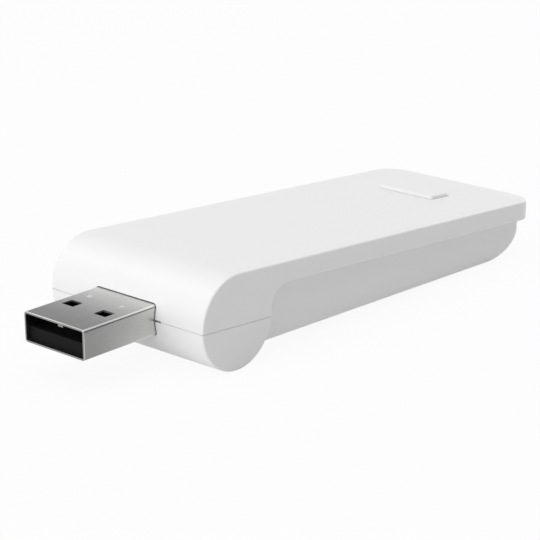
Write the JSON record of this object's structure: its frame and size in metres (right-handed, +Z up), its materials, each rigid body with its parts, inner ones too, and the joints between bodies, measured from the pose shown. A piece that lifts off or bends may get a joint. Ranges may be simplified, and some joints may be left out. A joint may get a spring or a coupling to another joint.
{
  "type": "usb wifi adapter",
  "caption": "White USB network adapter: steel USB-A plug in a round-nosed barrel, a sloping deck that overhangs a slimmer tub, and a low push bar at the tail.",
  "frame": {"origin": "bottom centre of the whole adapter's box, level with the barrel's underside and the tub's heel", "axes": "+X from the plug's tip to the tail, +Z up out of the deck, +Y across"},
  "size_m": [0.0914, 0.0306, 0.0141],
  "materials": {
    "shell_upper": "moulded white ABS, satin",
    "shell_lower": "moulded white ABS, satin",
    "shell_button": "moulded white ABS, satin",
    "label": "blank silver-grey film",
    "plug_steel": "nickel-plated steel, drawn along the plug",
    "tongue_black": "black moulded insulator",
    "contact_gold": "gold-plated spring brass",
    "board_green": "green solder mask",
    "shield_tin": "tin-plated sheet",
    "chip_black": "moulded epoxy",
    "ferrite": "ferrite",
    "crystal_can": "metal can",
    "capacitor_tan": "fired ceramic",
    "resistor_black": "thick film",
    "led_body": "clear epoxy over white",
    "connector_brass": "gold-plated",
    "antenna_metal": "tin-plated sheet",
    "heat_pad": "soft silicone pad",
    "plunger_black": "moulded nylon",
    "switch_plastic": "moulded nylon"
  },
  "bodies": {
    "adapter": {"upper_shell": "shell_upper", "lower_shell": "shell_lower", "label": "label", "usb_shell": "plug_steel", "usb_tongue": "tongue_black", "contact_vbus": "contact_gold", "contact_dminus": "contact_gold", "contact_dplus": "contact_gold", "contact_ground": "contact_gold", "circuit_board": "board_green", "shield_frame": "shield_tin", "shield_lid": "shield_tin", "radio_chip": "chip_black", "amplifier_chips": "chip_black", "voltage_regulator": "chip_black", "power_inductor": "ferrite", "crystal": "crystal_can", "memory_chip": "chip_black", "ceramic_capacitors": "capacitor_tan", "resistors": "resistor_black", "status_led": "led_body", "test_connectors": "connector_brass", "antenna_left": "antenna_metal", "antenna_right": "antenna_metal", "thermal_pad": "heat_pad", "switch_body": "switch_plastic"},
    "button": {"button_cap": "shell_button", "switch_plunger": "plunger_black"}
  },
  "joints": [
    {"name": "button_slide", "type": "slide", "parent": "adapter", "child": "button", "axis": [-0.0748, 0, -0.9972], "range_m": [0, 0.00025], "stiffness_N_per_m": 1000}
  ]
}
